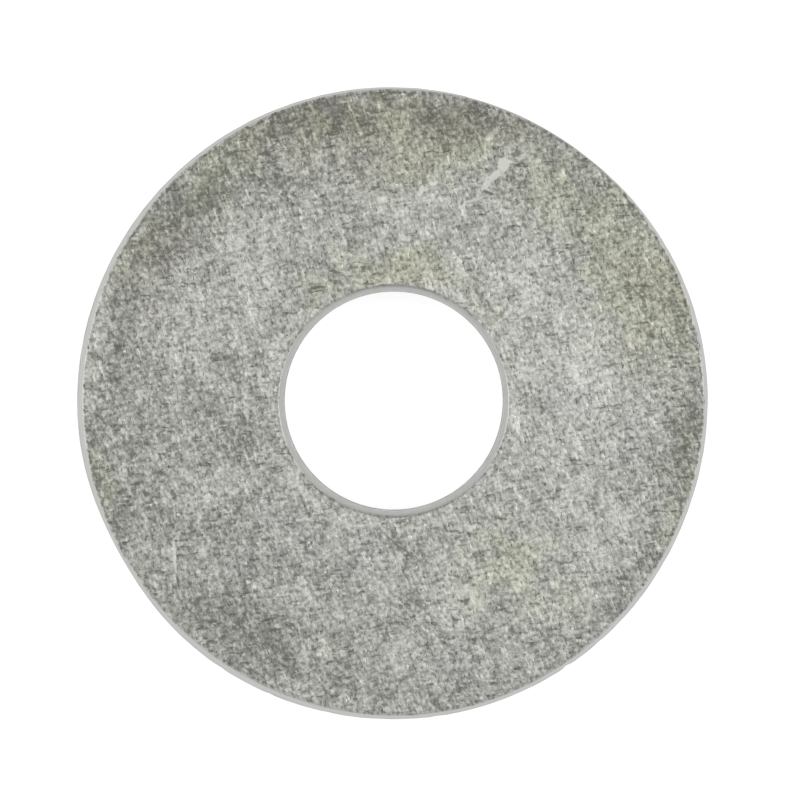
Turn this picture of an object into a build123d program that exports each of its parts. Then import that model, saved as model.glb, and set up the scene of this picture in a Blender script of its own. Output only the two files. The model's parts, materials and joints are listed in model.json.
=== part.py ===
from build123d import *

import os

# Flat washer for an M8 bolt, large series: one disc of steel strip, blanked and pierced
# in a single stroke, tumbled and zinc plated. Lengths are in millimetres. The origin is
# the centre of the lower face, and +Z runs up through the hole.

# Overall sizes
outer_diameter = 24.0
thickness = 2.0

# The hole passes a bolt with a clearance on the diameter
bolt_diameter = 8.0
bolt_clearance = 0.4

# Upper edges, which the punch drew down before it cut
outer_roll_width = 0.16
outer_roll_depth = 0.24
hole_roll_width = 0.19
hole_roll_depth = 0.26

# Cut walls: a straight burnished land, then a fracture that leans back from it
outer_land_length = 0.75
outer_fracture_lean = 0.05
hole_land_length = 0.85
hole_fracture_lean = 0.04

# Lower edges, rounded over by tumbling
lower_edge_radius = 0.08

outer_radius = outer_diameter / 2
hole_radius = (bolt_diameter + bolt_clearance) / 2


def washer_section():
    """Half section of the washer in the XZ plane, from the hole's wall to the rim."""
    outer_land_top = thickness - outer_roll_depth
    outer_land_bottom = outer_land_top - outer_land_length
    outer_foot = outer_radius - outer_fracture_lean
    hole_land_top = thickness - hole_roll_depth
    hole_land_bottom = hole_land_top - hole_land_length
    hole_foot = hole_radius + hole_fracture_lean

    with BuildSketch(Plane.XZ) as section:
        with BuildLine():
            outer_roll = EllipticalCenterArc(
                center=(outer_radius - outer_roll_width, outer_land_top),
                x_radius=outer_roll_width,
                y_radius=outer_roll_depth,
                start_angle=0,
                arc_size=90,
            )
            hole_roll = EllipticalCenterArc(
                center=(hole_radius + hole_roll_width, hole_land_top),
                x_radius=hole_roll_width,
                y_radius=hole_roll_depth,
                start_angle=90,
                arc_size=90,
            )
            Line(outer_roll @ 1, hole_roll @ 0)

            hole_lower_edge = CenterArc(
                center=(hole_foot + lower_edge_radius, lower_edge_radius),
                radius=lower_edge_radius,
                start_angle=180,
                arc_size=90,
            )
            Polyline(hole_roll @ 1, (hole_radius, hole_land_bottom), hole_lower_edge @ 0)

            outer_lower_edge = CenterArc(
                center=(outer_foot - lower_edge_radius, lower_edge_radius),
                radius=lower_edge_radius,
                start_angle=270,
                arc_size=90,
            )
            Line(hole_lower_edge @ 1, outer_lower_edge @ 0)
            Polyline(outer_lower_edge @ 1, (outer_radius, outer_land_bottom), outer_roll @ 0)
        make_face()
    return section.sketch


washer = revolve(washer_section(), Axis.Z)

os.makedirs("parts", exist_ok=True)
export_step(washer, "parts/washer.step")
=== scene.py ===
import json
import math

import bpy
import numpy as np
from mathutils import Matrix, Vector, noise


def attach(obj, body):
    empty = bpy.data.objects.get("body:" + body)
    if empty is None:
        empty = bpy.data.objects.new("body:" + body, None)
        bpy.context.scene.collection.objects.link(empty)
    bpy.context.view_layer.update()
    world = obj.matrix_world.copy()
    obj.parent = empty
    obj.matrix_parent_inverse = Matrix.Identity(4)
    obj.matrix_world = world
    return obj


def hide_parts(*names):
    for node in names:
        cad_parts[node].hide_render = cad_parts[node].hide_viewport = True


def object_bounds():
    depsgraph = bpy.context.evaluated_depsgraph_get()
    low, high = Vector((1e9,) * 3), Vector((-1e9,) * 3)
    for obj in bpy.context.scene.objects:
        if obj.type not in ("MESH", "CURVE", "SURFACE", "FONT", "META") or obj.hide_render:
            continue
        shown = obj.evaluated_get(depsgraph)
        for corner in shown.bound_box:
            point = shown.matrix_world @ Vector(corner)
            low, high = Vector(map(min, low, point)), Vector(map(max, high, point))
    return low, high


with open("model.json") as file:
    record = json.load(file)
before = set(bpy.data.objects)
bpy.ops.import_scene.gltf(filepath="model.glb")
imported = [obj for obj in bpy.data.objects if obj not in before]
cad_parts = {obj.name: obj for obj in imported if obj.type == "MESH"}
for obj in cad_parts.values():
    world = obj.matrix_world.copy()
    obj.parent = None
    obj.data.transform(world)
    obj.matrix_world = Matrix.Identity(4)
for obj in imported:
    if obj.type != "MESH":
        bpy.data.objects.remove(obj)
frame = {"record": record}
cad_low, cad_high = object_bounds()


# The washer's outline. It is one disc of cold-rolled steel strip, blanked and pierced in
# a single stroke. The blank isn't quite round: it has three long shallow flats, and the
# hole sits a tenth of a millimetre off its centre. Sizes are in millimetres and degrees.
MM = 0.001
outer_radius = min(cad_high.x, cad_high.y) / MM
thickness = (cad_high.z - cad_low.z) / MM
hole = next(m for m in frame["record"]["mounts"] if m["kind"] == "bore")
hole_radius = hole["dims"]["r_mm"]
hole_centre = np.array([0.05, 0.11])
hole_roll_width = 0.20  # the upper edges roll over: this far at the hole, more at the rim
skin_radius = 11.70  # and the flat upper face between them, the skin, stops here
skin_centre = np.array([0.04, 0.118])

TURN = 720  # points round each ring
degrees = np.arange(TURN) * 360 / TURN
spokes = np.stack([np.cos(np.radians(degrees)), np.sin(np.radians(degrees))], 1)


def near(direction, spread):
    """1 towards a direction, falling to 0 on both sides of it, for every spoke."""
    off = (degrees - direction + 180) % 360 - 180
    return np.exp(-((off / spread) ** 2))


def wander(seed, pitch, radius):
    """Smooth noise of about -1 to 1 round a circle, with waves of about the pitch."""
    places = [Vector((x * radius / pitch, y * radius / pitch, seed)) for x, y in spokes]
    return np.array([noise.noise(p) for p in places]) * 2


FLATS = ((55, 22, 0.11), (209, 16, 0.19), (340, 20, 0.06))  # direction, spread, depth
NICKS = (
    (237, 0.8, 0.03),
    (247, 0.6, 0.03),
    (258, 0.9, 0.02),
    (278, 0.7, 0.02),
    (303.6, 0.7, 0.06),
    (311, 0.9, 0.02),
)
outline = outer_radius - 0.012 * np.abs(wander(3, 0.9, outer_radius))
for direction, spread, depth in FLATS + NICKS:
    outline -= depth * near(direction, spread)
rim = spokes * outline[:, None]
skin_reach = skin_radius + 0.14 * near(278, 38)  # the edge is rolled least on this side
skin_edge = skin_centre + spokes * skin_reach[:, None]
bore = hole_centre + spokes * hole_radius
bore_edge = hole_centre + spokes * (hole_radius + hole_roll_width)


# The washer's section, drawn ring by ring from the hole's lower edge, up its wall, out
# across the upper face, down the rim and back under. Each cut wall is a bright burnished
# land above and a torn fracture below, with a wandering line where the two meet.
rings = []  # for each ring: its points in plan, their heights and their depths below the land
ON_FACE = -1.0  # the depth below the land of a ring that isn't on a cut wall


def ring(plan, height, land_foot=None):
    """Adds a ring of points. On a cut wall, land_foot is the height where the land ends."""
    height = np.broadcast_to(height, TURN)
    depth = np.full(TURN, ON_FACE) if land_foot is None else land_foot - height
    rings.append((plan, height, depth))


def between(low, high, steps):
    """Values from just past low to high, in even steps."""
    return [low + (high - low) * (k + 1) / steps for k in range(steps)]


ROLL_CORNER, ROLL_SLOPE = 0.09, math.radians(58)  # the radius and the end of the tight corner


def rolled(width):
    """Steps of an edge drawn down from the face: a tight corner, then an ever steeper slope."""
    corner = np.minimum(ROLL_CORNER, 0.7 * width)
    turns = between(0, ROLL_SLOPE, 4)
    steps = [(corner * math.sin(t), corner * (1 - math.cos(t))) for t in turns]
    start, drop = steps[-1]
    for t in between(0, 1, 5):
        slope = math.tan(ROLL_SLOPE) * t + 0.5 * t**3
        steps.append((start + (width - start) * t, drop + (width - start) * slope))
    return steps


lower_edge = 0.08  # the radius that tumbling gives the lower edges


def rounded(turn):
    """How far in and how high the lower edge is, where it has turned this many degrees."""
    turn = math.radians(turn)
    return lower_edge * (1 - math.sin(turn)), lower_edge * (1 - math.cos(turn))


hole_land, rim_land = 1.08, 1.10  # how far below the upper face each land ends
land_foot = thickness - hole_land + 0.07 * wander(11, 0.8, hole_radius)
ring(bore + spokes * lower_edge, 0.0, land_foot)
for turn in between(0, 90, 4):
    inset, height = rounded(turn)
    ring(bore + spokes * inset, height, land_foot)
for t in between(1, 0, 9):
    torn_in = 0.02 * np.abs(wander(20 + 3 * t, 0.3, hole_radius)) * (0.05 < t < 0.95)
    height = lower_edge + (land_foot - lower_edge) * (1 - t)
    ring(bore + spokes * torn_in[:, None], height, land_foot)
hole_roll = rolled(np.full(TURN, hole_roll_width))
land_top = thickness - hole_roll[-1][1]
for t in between(0, 1, 3):
    ring(bore, land_foot + (land_top - land_foot) * t, land_foot)
for reach, drop in hole_roll[-2::-1]:
    ring(bore_edge - spokes * reach[:, None], thickness - drop, land_foot)
ring(bore_edge, thickness)
skin_starts = len(rings) - 1
for t in between(0, 1, 64):
    ring(bore_edge + (skin_edge - bore_edge) * t, thickness)
skin_ends = len(rings) - 1

rim_lean = 0.05  # how far in the fracture leans at the rim's foot
land_foot = thickness - rim_land + 0.09 * wander(31, 0.9, outer_radius)
roll_width = np.linalg.norm(rim - skin_edge, axis=1)
for reach, drop in rolled(roll_width):
    share = (reach / roll_width)[:, None]
    ring(skin_edge + (rim - skin_edge) * share, thickness - drop, land_foot)
land_top = thickness - drop
for t in between(0, 1, 3):
    ring(rim, land_top + (land_foot - land_top) * t, land_foot)
for t in between(0, 1, 9):
    torn_in = 0.025 * np.abs(wander(40 + 3 * t, 0.35, outer_radius)) * (t < 0.95)
    height = land_foot + (lower_edge - land_foot) * t
    ring(rim - spokes * (rim_lean * t + torn_in)[:, None], height, land_foot)
for turn in between(90, 0, 4):
    inset, height = rounded(turn)
    ring(rim - spokes * (rim_lean + inset), height, land_foot)
under_starts = len(rings) - 1
foot_inner, foot_outer = rings[0][0], rings[under_starts][0]
for t in between(0, 1, 15)[:-1]:
    ring(foot_outer + (foot_inner - foot_outer) * t, 0.0)


# The faces' relief. The strip is a little wavy, tumbling has peened it all over, and
# handling has left one comma-shaped dent and two small knocks in the upper face.
plan = np.array([r[0] for r in rings])
height = np.array([r[1] for r in rings])
below_land = np.array([r[2] for r in rings])
x, y = plan[..., 0], plan[..., 1]


def field(seed, pitch):
    """Smooth noise of about -1 to 1 over every point of the washer."""
    flat = zip(x.ravel() / pitch, y.ravel() / pitch)
    return np.array([noise.noise(Vector((u, v, seed))) for u, v in flat]).reshape(x.shape) * 2


def stroke(points, widths):
    """How deep each point lies in a mark drawn along a line: 1 on it, 0 past its width."""
    deep = np.zeros_like(x)
    for (x0, y0), (x1, y1), w0, w1 in zip(points, points[1:], widths, widths[1:]):
        squared = (x1 - x0) ** 2 + (y1 - y0) ** 2
        t = np.clip(((x - x0) * (x1 - x0) + (y - y0) * (y1 - y0)) / squared, 0, 1)
        off = np.hypot(x - x0 - t * (x1 - x0), y - y0 - t * (y1 - y0))
        deep = np.maximum(deep, 1 - off / (w0 + (w1 - w0) * t))
    return np.clip(deep, 0, 1)


on_skin = np.zeros_like(x)  # how much of the relief each ring takes: the rolled edges take less
on_skin[skin_starts + 1 : skin_ends] = 1
on_skin[skin_starts - 3 : skin_starts + 1] = 0.4
on_skin[skin_ends : skin_ends + 4] = 0.4
relief = 0.008 * field(5, 4.0) + 0.005 * field(6, 1.1) + 0.005 * field(7, 0.42)
DENTS = (  # the line each dent follows, its half widths along it, and its depth
    ([(4.21, 9.10), (4.20, 8.95), (3.90, 8.66), (3.52, 8.24)], [0.36, 0.36, 0.24, 0.16], 0.02),
    ([(1.04, 8.16), (1.03, 7.94)], [0.16, 0.12], 0.02),
    ([(-4.36, -8.42), (-4.33, -8.46)], [0.14, 0.14], 0.02),
)
for points, widths, depth in DENTS:
    deep = stroke(points, widths)
    relief -= depth * deep**2 * (3 - 2 * deep)
relief -= relief[skin_starts:skin_ends].max()
height = height + relief * on_skin

under = slice(under_starts + 1, len(rings))
height[under] += 0.004 * np.abs(field(8, 1.5))[under]


# The coat's patches. Zinc takes unevenly, so it is lighter in some places and duller in
# others. The clear passivation over it is yellow where thick and bluish where thin, and
# handling has browned it in a few places. Each patch has ragged edges.
ragged_x, ragged_y = x + 0.35 * field(9, 0.9), y + 0.35 * field(10, 0.9)


def patches(places):
    """The sum of soft patches, each given by its place, length, width, angle and strength."""
    total = np.zeros_like(x)
    for x0, y0, length, width, angle, strength in places:
        turn = math.radians(angle)
        away_x, away_y = ragged_x - x0, ragged_y - y0
        along = (away_x * math.cos(turn) + away_y * math.sin(turn)) * 2 / length
        aside = (away_y * math.cos(turn) - away_x * math.sin(turn)) * 2 / width
        total += strength * np.exp(-(along**2 + aside**2))
    return total


shade = patches(
    (
        (-3.2, 10.9, 7.0, 2.0, 12, -1.0),
        (2.7, 10.9, 3.8, 1.7, -8, -0.9),
        (0.3, 10.1, 4.5, 1.5, 0, -0.4),
        (6.2, 9.8, 4.5, 1.8, -35, -0.5),
        (-8.8, 6.4, 5.2, 2.6, 52, -1.0),
        (-6.2, 8.2, 3.8, 2.0, 40, -0.65),
        (-10.4, 2.6, 4.4, 1.8, 78, -0.6),
        (-11.2, -1.6, 4.6, 1.0, 95, -0.6),
        (-6.3, -0.6, 3.6, 1.6, -15, -0.5),
        (-9.9, -4.6, 4.0, 2.0, 110, -0.3),
        (-5.2, -9.0, 4.0, 2.2, -28, -0.75),
        (-6.9, -8.0, 2.4, 1.6, -40, -0.4),
        (0.5, -7.5, 1.6, 1.0, 20, -0.5),
        (1.9, -5.3, 1.4, 0.7, -40, -0.4),
        (11.0, -1.4, 3.0, 1.6, 80, -1.0),
        (11.1, 2.6, 4.0, 1.0, 100, -0.5),
        (9.5, -6.3, 3.2, 1.6, 55, -0.5),
        (3.0, -11.0, 7.0, 0.9, 10, -0.3),
        (5.2, 4.2, 5.2, 3.0, -50, 0.5),
        (7.0, 0.6, 5.4, 3.4, -75, 0.55),
        (6.8, -2.6, 3.4, 2.6, 0, 0.4),
        (2.6, -6.3, 6.0, 2.2, 10, 0.4),
        (8.2, -4.8, 3.0, 2.0, 50, 0.4),
        (-5.3, 6.2, 3.6, 1.8, 110, 0.4),
        (0.8, 7.3, 5.5, 1.8, 0, 0.3),
        (-7.4, 3.0, 3.4, 1.8, 60, 0.3),
        (-9.8, -1.6, 8.0, 3.0, 90, -0.3),
        (-5.5, -6.6, 6.0, 3.4, -40, -0.3),
        (0.0, 10.6, 9.0, 2.0, 0, -0.15),
        (9.2, 4.8, 7.5, 2.8, -62, -0.22),
        (-3.4, 8.3, 5.0, 2.0, 8, -0.3),
        # these two narrow patches lighten the left rim's edge, where light falls on it, and take
        # back the painted shade there
        (-11.45, 1.6, 7.0, 0.9, 82, 0.9),
        (-10.3, 5.6, 5.0, 0.7, 60, 0.5),
        (-6.3, -4.2, 2.8, 2.0, 0, -0.3),
        (-1.8, -10.2, 5.0, 1.6, 0, -0.2),
    )
)
from_middle = np.hypot(x, y)
shade += 0.3 * np.exp(-(((from_middle - 4.65) / 0.3) ** 2))  # lighter in a ring just outside the hole
tint = patches(
    (
        (-1.0, 10.7, 9.0, 2.0, 4, 0.6),
        (2.4, 9.6, 4.4, 2.0, 10, 0.7),
        (0.0, 8.7, 2.6, 1.8, 0, 0.5),
        (-6.8, 8.4, 5.0, 2.0, 45, 0.6),
        (-9.9, 5.8, 3.6, 1.2, 62, 0.5),
        (0.1, 5.1, 3.4, 1.5, 0, 1.0),
        (-2.7, 4.3, 2.6, 1.2, 38, 0.6),
        (3.4, 3.6, 3.4, 0.9, -48, 0.4),
        (8.4, 6.3, 6.0, 2.8, -58, 0.8),
        (9.7, 3.6, 4.6, 3.4, -65, 0.8),
        (5.4, 8.1, 2.6, 2.0, 0, 0.6),
        (10.7, -3.9, 3.0, 1.3, 75, 0.8),
        (11.2, -1.0, 2.6, 1.0, 90, 0.6),
        (4.7, -6.6, 5.0, 3.2, -20, 0.45),
        (4.4, -5.7, 2.2, 1.2, 0, 0.5),
        (-10.9, -3.2, 3.4, 1.2, 105, 0.6),
        (6.7, 0.1, 2.4, 1.8, -20, -0.8),
        (9.1, -1.1, 1.6, 1.6, 0, -0.8),
        (-4.1, -4.6, 4.4, 2.0, -28, -0.6),
        (-6.4, -6.0, 4.0, 1.2, 0, -0.5),
        (-1.0, -5.6, 2.0, 1.6, 0, -0.7),
        (1.8, -10.0, 4.4, 1.8, 0, -0.6),
        (-8.6, -0.4, 4.0, 3.2, 90, -0.3),
        (8.0, -2.8, 3.4, 3.0, 0, -0.3),
    )
)
browned = patches(
    (
        (-0.6, 10.9, 10.5, 2.2, 0, 1.0),
        (-2.6, 9.4, 5.0, 1.4, -12, 0.6),
        (-8.9, 5.5, 3.2, 2.0, 62, 0.8),
        (0.5, 5.0, 2.6, 1.0, 0, 0.7),
        (10.0, 4.6, 2.2, 1.4, -60, 0.5),
    )
)
by_hole = (from_middle < 8) * (0.25 + 0.75 * spokes[:, 1] ** 2)  # where painted shade lines the hole's edge, most towards ±Y, the room's darker sides


# The washer's mesh: one closed skin of squares, unrolled into two rings for its finish.
# The larger ring holds both cut walls and the upper face, the smaller the lower face.
ring_radius = from_middle.mean(1)
ring_level = height.mean(1)
outward = np.diff(ring_radius, append=ring_radius[0])
upward = np.diff(ring_level, append=ring_level[0])
run = np.concatenate([[0], np.cumsum(np.hypot(outward, upward))])  # distance round the section
edges = (0, skin_starts, skin_ends, under_starts)  # where each flat face starts or ends
past_skin = np.min([np.abs(run[:-1] - run[k]) for k in edges], 0)
past_skin[skin_starts:skin_ends] *= -1
past_skin[under_starts:] *= -1

UPPER_HALF, UNDER_HALF = 0.343, 0.238  # half the width of each unrolled ring in the map
MAP_EDGE = 0.002  # what is left free outside them
upper_reach = run[: under_starts + 1] - run[skin_starts] + ring_radius[skin_starts]
under_reach = ring_radius[np.r_[under_starts : len(rings), 0]]
reach = np.concatenate([upper_reach[:-1], under_reach[:-1]])
next_reach = np.concatenate([upper_reach[1:], under_reach[1:]])
is_upper = np.arange(len(rings)) < under_starts
scale = np.where(is_upper, UPPER_HALF / upper_reach[-1], UNDER_HALF / under_reach[0])
middle = np.where(is_upper, UPPER_HALF + MAP_EDGE, 1 - UNDER_HALF - MAP_EDGE)
facing = np.where(is_upper, 1.0, -1.0)


def mapped(reach, spoke):
    """Where one corner of every square lies in the map."""
    u = middle[:, None] + (reach * scale * facing)[:, None] * spoke[None, :, 0]
    v = middle[:, None] + (reach * scale)[:, None] * spoke[None, :, 1]
    return np.stack([u, v], -1)


next_spokes = np.roll(spokes, -1, 0)
places = np.stack(
    [
        mapped(reach, spokes),
        mapped(next_reach, spokes),
        mapped(next_reach, next_spokes),
        mapped(reach, next_spokes),
    ],
    2,
)
row, column = np.meshgrid(np.arange(len(rings)), np.arange(TURN), indexing="ij")
next_row, next_column = (row + 1) % len(rings), (column + 1) % TURN
squares = np.stack(
    [
        row * TURN + column,
        next_row * TURN + column,
        next_row * TURN + next_column,
        row * TURN + next_column,
    ],
    -1,
)
points = np.stack([x, y, height], -1) * MM
mesh = bpy.data.meshes.new("flat_washer")
mesh.from_pydata(points.reshape(-1, 3).tolist(), [], squares.reshape(-1, 4).tolist())
mesh.shade_smooth()
mesh.uv_layers.new(name="OFBake").uv.foreach_set("vector", places.astype(np.float32).ravel())
for name, worth in (
    ("past_skin", past_skin[:, None]),
    ("below_land", below_land),
    ("shade", shade),
    ("tint", tint),
    ("browned", browned),
    ("by_hole", by_hole),
):
    worth = np.broadcast_to(worth, x.shape).astype(np.float32)
    mesh.attributes.new(name, "FLOAT", "POINT").data.foreach_set("value", worth.ravel())
washer = bpy.data.objects.new("flat_washer", mesh)
bpy.context.scene.collection.objects.link(washer)


# The washer's finish: satin zinc over tumbled steel. The plating stands in small bright
# flecks that lean one way, with finer ones across them, and dark pits, cracks and hairline
# scratches between. The rolled edges are plain, and the cut walls are scored and torn.
class Wire:
    """One output of a shader's nodes. Arithmetic on it adds Math nodes."""

    def __init__(self, tree, plug=None):
        self.tree, self.plug = tree, plug

    def node(self, kind, settings={}, inputs={}, out=0):
        """Adds a node: its settings first, then its inputs, each a number or a wire."""
        made = self.tree.nodes.new("ShaderNode" + kind)
        for name, value in settings.items():
            setattr(made, name, value)
        for name, value in inputs.items():
            named = [s for s in made.inputs if s.enabled and s.name == name]
            target = named[0] if named else made.inputs[name]
            if isinstance(value, Wire):
                self.tree.links.new(value.plug, target)
            else:
                target.default_value = value
        outs = [s for s in made.outputs if s.enabled and s.name == out]
        return Wire(self.tree, outs[0] if outs else made.outputs[out])

    def math(self, operation, *values):
        """Adds a Math node."""
        return self.node("Math", {"operation": operation}, dict(enumerate(values)))

    def __add__(self, other):
        return self.math("ADD", self, other)

    def __sub__(self, other):
        return self.math("SUBTRACT", self, other)

    def __rsub__(self, other):
        return self.math("SUBTRACT", other, self)

    def __mul__(self, other):
        return self.math("MULTIPLY", self, other)

    def __abs__(self):
        return self.math("ABSOLUTE", self)

    __radd__, __rmul__ = __add__, __mul__

    def ease(self, low, high):
        """0 below low and 1 above high, with a smooth turn between; or back to front."""
        limits = {"Value": self, "From Min": low, "From Max": high}
        return self.node("MapRange", {"interpolation_type": "SMOOTHSTEP"}, limits)

    def grain(self, length, width, angle, seed, detail=0.0, roughness=0.5, tall=None):
        """Noise about 0, in grains of a length, width and height in mm that lie at an angle."""
        laid = self.node(
            "Mapping",
            {"vector_type": "TEXTURE"},
            {
                "Vector": self,
                "Location": (seed, -seed, 0.37 * seed),
                "Rotation": (0, 0, math.radians(angle)),
                "Scale": (length, width, tall or width),
            },
        )
        settings = {"Vector": laid, "Scale": 1.0, "Detail": detail, "Roughness": roughness}
        return (self.node("TexNoise", {}, settings) - 0.5) * 4

    def spot(self, x, y, length, width, angle, soft):
        """1 in a long or round patch that lies at an angle, fading out past its soft share."""
        laid = self.node(
            "Mapping",
            {"vector_type": "TEXTURE"},
            {
                "Vector": self,
                "Location": (x, y, thickness),
                "Rotation": (0, 0, math.radians(angle)),
                "Scale": (length / 2, width / 2, 1.0),
            },
        )
        away = self.node("VectorMath", {"operation": "LENGTH"}, {"Vector": laid}, "Value")
        return away.ease(1, 1 - soft)

    def mixed(self, first, second):
        """The first colour where this is 0, the second where it is 1."""
        colours = {"Factor": self, "A": (*first, 1), "B": (*second, 1)}
        return self.node("Mix", {"data_type": "RGBA"}, colours, "Result")

    def tinted(self, tint, share):
        """This colour seen through a tint, by a share."""
        settings = {"data_type": "RGBA", "blend_type": "MULTIPLY"}
        return self.node("Mix", settings, {"Factor": share, "A": self, "B": (*tint, 1)}, "Result")


zinc = bpy.data.materials.new("zinc_plated_steel")
zinc.use_nodes = True
shader = zinc.node_tree.nodes["Principled BSDF"]
steel = Wire(zinc.node_tree)


def attribute(name):
    """A value that the mesh holds at its points."""
    return steel.node("Attribute", {"attribute_name": name}, out="Fac")


metres = steel.node("TexCoord", out="Object")
place = steel.node("VectorMath", {"operation": "SCALE"}, {0: metres, "Scale": 1 / MM})


def stirred(pitch, reach):
    """The place in mm, pushed about by noise: waves of about the pitch, as far as reach."""
    waves = {"Vector": place, "Scale": 1 / pitch, "Detail": 1.0}
    push = steel.node("TexNoise", {}, waves, "Color")
    push = steel.node("VectorMath", {"operation": "SUBTRACT"}, {0: push, 1: (0.5, 0.5, 0.5)})
    added = {0: push, 1: (4 * reach,) * 3, 2: place}
    return steel.node("VectorMath", {"operation": "MULTIPLY_ADD"}, added)


bent = stirred(0.45, 0.06)
drawn = stirred(0.9, 0.04)

# The bright flecks: most of them lean one way, and the finer ones lie across them
LEAN, ACROSS = 113, 14  # directions in plan, from the X axis
fine = place.grain(0.19, 0.12, LEAN, 3.1, 1.0, 0.58)
crossing = place.grain(0.25, 0.13, ACROSS, 7.7, 1.0, 0.6)
mottle = place.grain(0.36, 0.24, LEAN, 5.9, 1.0, 0.5)
clumps = place.grain(0.70, 0.40, LEAN, 11.3)
clouds = place.grain(1.9, 1.5, LEAN, 17.9, 1.0, 0.6)
threads = abs(bent.grain(0.36, 0.22, LEAN, 41.3)).ease(0.40, 0.0)
streaks = bent.grain(1.3, 0.17, LEAN - 4, 71.9).ease(0.45, 0.95)
streaks_here = place.grain(1.1, 1.1, 0, 83.3, 1.0).ease(-0.1, 0.5)
# glints are tiny bright specks of painted highlight, in the colour and the relief
glints = bent.grain(0.15, 0.11, LEAN, 67.3).ease(1.0, 1.45)
fleck = 0.87 * fine + 0.68 * crossing + 0.47 * mottle + 0.33 * clumps + 0.16 * clouds
fleck = fleck + 0.45 * (threads - 0.35) + 0.75 * streaks * streaks_here + 1.2 * glints

# What lies dark between them: short cracks, pits and hairline scratches, each in groups
cracks = bent.grain(0.50, 0.10, 22, 53.9, 1.0, 0.6).ease(0.35, 0.9)
cracks_here = place.grain(0.55, 0.24, 22, 59.1, 1.0).ease(-0.1, 0.5)
pits = place.grain(0.22, 0.14, 100, 61.7, 1.0, 0.7).ease(0.30, 0.95)
hairs = bent.grain(0.7, 0.10, 4, 23.3).ease(0.45, 0.9)
hairs_here = place.grain(0.9, 0.30, 4, 29.1, 1.0).ease(0.05, 0.55)
dark = 0.6 * cracks * cracks_here + 0.85 * pits + 0.7 * hairs * hairs_here

# The skin, up to the rolled edges, and the walls with their scored land and torn fracture
past = attribute("past_skin")
skin = (past + 0.045 * fine + 0.03 * clumps).ease(0.085, -0.045)
walls = past.ease(0.20, 0.45)
scores = place.grain(0.13, 0.13, 0, 91.3, 1.0, 0.7, tall=3.0)
crumbs = place.grain(0.16, 0.16, 0, 97.9, 2.0, 0.7)
torn = (attribute("below_land") + 0.07 * crumbs + 0.05 * scores).ease(-0.02, 0.04)
wall_relief = 0.5 * scores * (1 - torn) + 1.6 * crumbs * torn

# The scuffs left by handling: place, length, width and angle, and how much lighter. On the comma
# dent the lighter ones are rubbed zinc with a painted highlight, and the dark one below its tail
# is painted shadow.
SCUFFS_AND_DENT_SHADING = (
    (4.22, 9.06, 0.62, 0.56, 100, 0.62),
    (4.12, 8.86, 0.56, 0.44, 70, 0.30),
    (3.87, 8.62, 0.62, 0.36, 52, 0.50),
    (3.57, 8.28, 0.56, 0.28, 46, 0.50),
    (4.66, 9.48, 0.46, 0.30, 30, -0.2),
    (3.62, 7.98, 0.60, 0.16, -12, -0.35),
    (3.10, 7.72, 0.90, 0.14, 18, 0.30),
    (1.08, 8.05, 0.50, 0.21, 78, 0.6),
    (1.25, 8.10, 0.32, 0.17, 0, 0.4),
    (-4.34, -8.40, 0.24, 0.20, 0, 0.5),
    (-8.22, -5.72, 1.60, 0.15, -85, 0.55),
    (-8.26, -4.15, 0.60, 0.11, -85, 0.25),
    (-8.10, -6.75, 0.60, 0.12, -80, -0.3),
    (0.28, -5.40, 2.00, 0.12, -38, -0.25),
)
scuffed, scuff_and_dent_shading = 0.0, 0.0
for scuff_x, scuff_y, length, width, angle, lighter in SCUFFS_AND_DENT_SHADING:
    scuff = drawn.spot(scuff_x, scuff_y, length, width, angle, 0.5)
    scuffed, scuff_and_dent_shading = scuffed + scuff, scuff_and_dent_shading + lighter * scuff
scuffed = scuffed.ease(0, 1)
flecked = skin * (1 - 0.8 * scuffed)  # a scuff rubs most of the flecks away

# How light the zinc is: 0 is the dullest grey and 1 the brightest. Painted shade greys a thin
# band along the skin's outer edge and lays a thin dark line round the hole's edge.
MIDDLING, FLECKING, DARKENING, SHADING = 0.478, 0.257, 0.35, 0.24
ROLLED_EDGE_SHEEN, RIM_EDGE_SHADE, HOLE_EDGE_SHADE = 0.17, 0.12, 0.24
tone = MIDDLING + (FLECKING * fleck - DARKENING * dark) * flecked
# the rolled edges and walls are made lighter, which is painted sheen
tone = tone + (SHADING * attribute("shade") + scuff_and_dent_shading) * skin + ROLLED_EDGE_SHEEN * (1 - skin)
hole_edge_shading_here = attribute("by_hole")
# painted shade: a thin grey band along the skin's outer edge, where it turns down to the rim
rim_edge_shade = past.ease(-0.13, -0.03) * skin * (1 + clumps) * hole_edge_shading_here.ease(0.2, 0.0)
# painted shade: a thin dark line round the hole's edge, most towards ±Y
hole_edge_shade = past.ease(-0.05, 0.0) * past.ease(0.08, 0.02) * (1 + 0.5 * clumps) * hole_edge_shading_here
tone = tone - RIM_EDGE_SHADE * rim_edge_shade - HOLE_EDGE_SHADE * hole_edge_shade
# The walls: scores, crumbs and a darker torn fracture, and a darkening all over that is painted
# shade
tone = tone + walls * (0.16 * wall_relief + 0.08 * clumps - 0.12 * torn - 0.16)
level = tone.ease(-0.1, 1.1)

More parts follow.
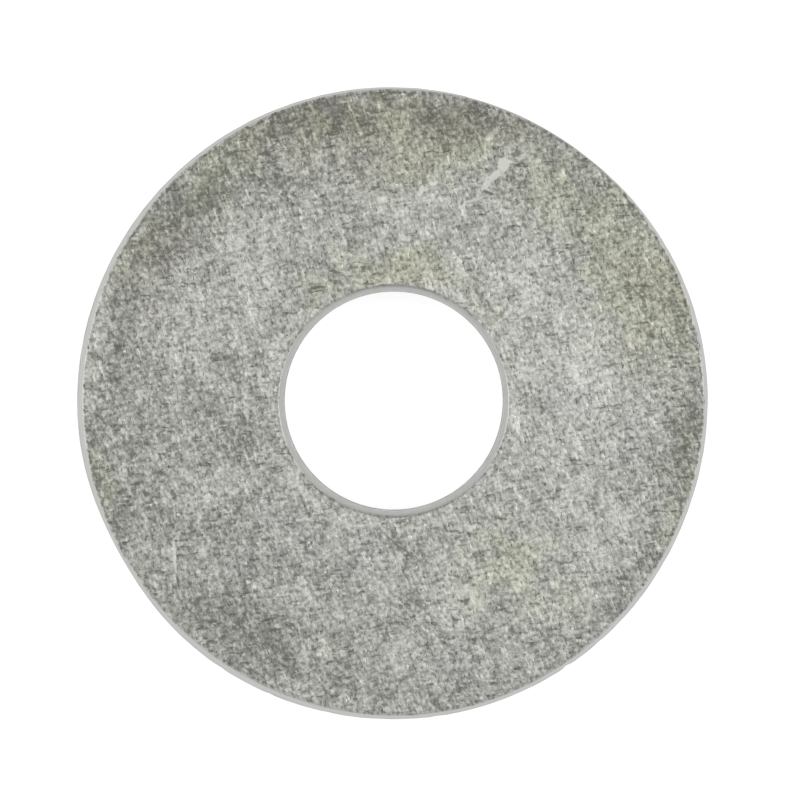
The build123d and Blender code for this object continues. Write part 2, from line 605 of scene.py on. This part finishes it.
# Its colour: from dull to bright, then tinted by the passivation and by handling
DULL_ZINC, BRIGHT_ZINC = (0.149, 0.15, 0.136), (0.695, 0.70, 0.65)
YELLOW, BLUISH, BROWN = (0.985, 1.0, 0.88), (0.965, 0.97, 1.0), (1.0, 0.97, 0.955)
LILAC, COOL = (1.0, 0.982, 1.005), (0.96, 0.96, 1.0)
thick = attribute("tint") + 0.16 * clouds + 0.14 * clumps
lilac_here = place.grain(0.9, 0.7, LEAN, 37.1, 1.0, 0.6).ease(0.15, 1.0)
colour = level.mixed(DULL_ZINC, BRIGHT_ZINC)
colour = colour.tinted(YELLOW, thick.ease(0.0, 0.9) * skin * (1.15 - 0.45 * level))
colour = colour.tinted(BLUISH, thick.ease(-0.1, -0.9))
colour = colour.tinted(BROWN, attribute("browned") * skin)
colour = colour.tinted(LILAC, lilac_here * skin)
colour = colour.tinted(COOL, 1 - skin)
zinc.node_tree.links.new(colour.plug, shader.inputs["Base Color"])

# Its roughness and its fine relief. The land is smoother than the fracture.
shader.inputs["Metallic"].default_value = 1.0
rough = 0.46 + 0.06 * fine * flecked + 0.04 * (1 - skin) - 0.2 * scuffed
rough = rough + walls * (0.06 * scores + 0.15 * torn - 0.08)
zinc.node_tree.links.new(rough.plug, shader.inputs["Roughness"])
relief_mm = (0.006 * fleck - 0.015 * dark) * flecked + 0.012 * walls * wall_relief
bump = steel.node("Bump", {}, {"Height": relief_mm, "Distance": MM, "Strength": 1.0})
zinc.node_tree.links.new(bump.plug, shader.inputs["Normal"])
washer.data.materials.append(zinc)

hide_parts("washer")
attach(washer, "root")


# The floor: a pale matt table that glows a little, so that the washer lies on plain white
# with hardly any shadow. It is part of the stage and not of the washer.
half, below_cad = 3.0, 0.02 * MM
corners = [(-half, -half), (half, -half), (half, half), (-half, half)]
sheet = bpy.data.meshes.new("floor")
sheet.from_pydata([(u, v, cad_low.z - below_cad) for u, v in corners], [], [(0, 1, 2, 3)])
floor = bpy.data.objects.new("floor", sheet)
bpy.context.scene.collection.objects.link(floor)
table = bpy.data.materials.new("lit_table")
table.use_nodes = True
surface = table.node_tree.nodes["Principled BSDF"]
surface.inputs["Base Color"].default_value = (0.35, 0.35, 0.35, 1)
surface.inputs["Roughness"].default_value = 0.9
surface.inputs["Specular IOR Level"].default_value = 0.0
surface.inputs["Emission Color"].default_value = (1, 1, 1, 1)
surface.inputs["Emission Strength"].default_value = 0.77
floor.data.materials.append(table)


# The light: a pale room that is brighter to the left and right and even towards the floor,
# and a soft box on each side of the washer.
world = bpy.data.worlds.new("studio")
bpy.context.scene.world = world
world.use_nodes = True
room = Wire(world.node_tree)
toward = room.node("TexCoord", out="Generated")
parts = room.node("SeparateXYZ", {}, {"Vector": toward}, "X")
east, north, up = (Wire(world.node_tree, s) for s in parts.plug.node.outputs)
dome = 0.85 + 0.4 * east * east - 0.35 * north * north
glow = dome + (1.05 - dome) * up.ease(0.25, 0.10)
backdrop = world.node_tree.nodes["Background"]
world.node_tree.links.new(glow.plug, backdrop.inputs["Color"])

for name, side in (("left", -1), ("right", 1)):
    box = bpy.data.lights.new("soft_box_" + name, "AREA")
    box.shape, box.size, box.energy = "SQUARE", 0.18, 0.25
    lamp = bpy.data.objects.new(box.name, box)
    bpy.context.scene.collection.objects.link(lamp)
    lamp.location = (side * 0.25, 0.03, 0.27)
    lamp.rotation_euler = (-lamp.location).to_track_quat("-Z", "Y").to_euler()


# The camera: it looks down on the upper face from a hand's breadth above, tipped by half a
# degree, and sees a little more than the washer.
half_width = 15.11 * MM  # what it sees to each side of its middle, on the upper face
distance = 90 * MM
tip = math.radians(0.5)
aim = Vector((0.292 * MM, 0.15 * MM, cad_high.z))
camera = bpy.data.objects.new("camera", bpy.data.cameras.new("camera"))
bpy.context.scene.collection.objects.link(camera)
camera.location = aim + Vector((0, math.sin(tip), math.cos(tip))) * distance
camera.rotation_euler = (-tip, 0, 0)
camera.data.lens = camera.data.sensor_width / 2 * distance / half_width
camera.data.clip_start = distance / 100
bpy.context.scene.camera = camera
bpy.context.scene.view_settings.view_transform = "Standard"


# Brings the scene up to date
bpy.context.view_layer.update()
